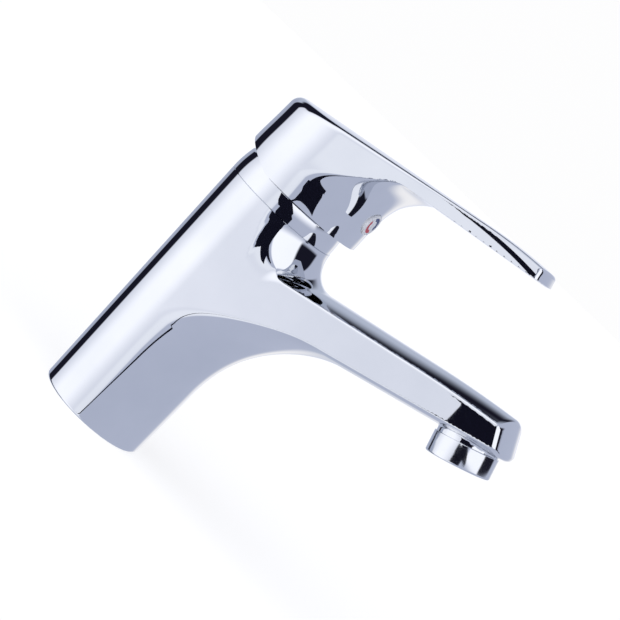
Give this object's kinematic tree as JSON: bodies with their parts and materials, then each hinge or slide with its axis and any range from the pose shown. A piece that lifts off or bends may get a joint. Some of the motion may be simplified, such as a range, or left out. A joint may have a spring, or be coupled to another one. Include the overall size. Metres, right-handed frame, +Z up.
{
  "type": "single-lever basin mixer faucet",
  "caption": "Single-lever basin mixer faucet: tapered round column, rising spout with aerator, dome collar and lever handle over a ceramic disc cartridge.",
  "frame": {"origin": "centre of the column's base, on the deck face", "axes": "+Z up along the column, spout along -Y, +X to the right looking along +Y"},
  "size_m": [0.0552, 0.1524, 0.1563],
  "materials": {
    "chrome_casting": "mirror-polished chrome plate over brass",
    "chrome_collar": "mirror-polished chrome plate",
    "chrome_handle": "mirror-polished chrome plate over zinc",
    "chrome_aerator": "chrome plate over brass, turned",
    "bare_brass": "machined",
    "steel": "machined stainless",
    "cartridge_plastic": "moulded acetal",
    "rotor_plastic": "moulded acetal",
    "limit_plastic": "moulded acetal",
    "ceramic": "lapped alumina ceramic",
    "badge_plastic": "satin light grey plug",
    "red_mark": "red inlay",
    "blue_mark": "blue inlay",
    "aerator_plastic": "moulded acetal",
    "regulator_plastic": "moulded acetal",
    "black_rubber": "moulded EPDM"
  },
  "bodies": {
    "root": {"body": "chrome_casting", "base_seal": "black_rubber", "cartridge_housing": "cartridge_plastic", "cartridge_base_plate": "cartridge_plastic", "base_plate_seals": "black_rubber", "disc_seals": "black_rubber", "fixed_disc": "ceramic", "retaining_nut": "bare_brass", "collar_ring": "black_rubber", "dome_collar": "chrome_collar", "limit_ring": "limit_plastic", "aerator_housing": "chrome_aerator", "aerator_gasket": "black_rubber", "aerator_insert": "aerator_plastic", "aerator_screen": "steel", "flow_regulator": "regulator_plastic"},
    "rotor": {"rotor": "rotor_plastic", "pivot_pin": "steel"},
    "lever": {"handle": "chrome_handle", "stem": "bare_brass", "grub_screw": "steel", "indicator_plug": "badge_plastic", "hot_mark": "red_mark", "cold_mark": "blue_mark"},
    "disc_carriage": {"disc_carrier": "cartridge_plastic", "moving_disc": "ceramic"}
  },
  "joints": [
    {"name": "temperature", "type": "hinge", "parent": "root", "child": "rotor", "pos_m": [0, 0, 0.1098], "axis": [0, 0, 1], "range_deg": [-50, 50]},
    {"name": "lever_lift", "type": "hinge", "parent": "rotor", "child": "lever", "pos_m": [0, 0, 0.1098], "axis": [-1, 0, 0], "range_deg": [0, 22]},
    {"name": "disc_slide", "type": "slide", "parent": "rotor", "child": "disc_carriage", "axis": [0, -1, 0], "range_m": [-0.0001, 0.0046]}
  ],
  "couplings": [
    {"joint": "disc_slide", "follows": "lever_lift", "m_per_rad": 0.0115}
  ]
}
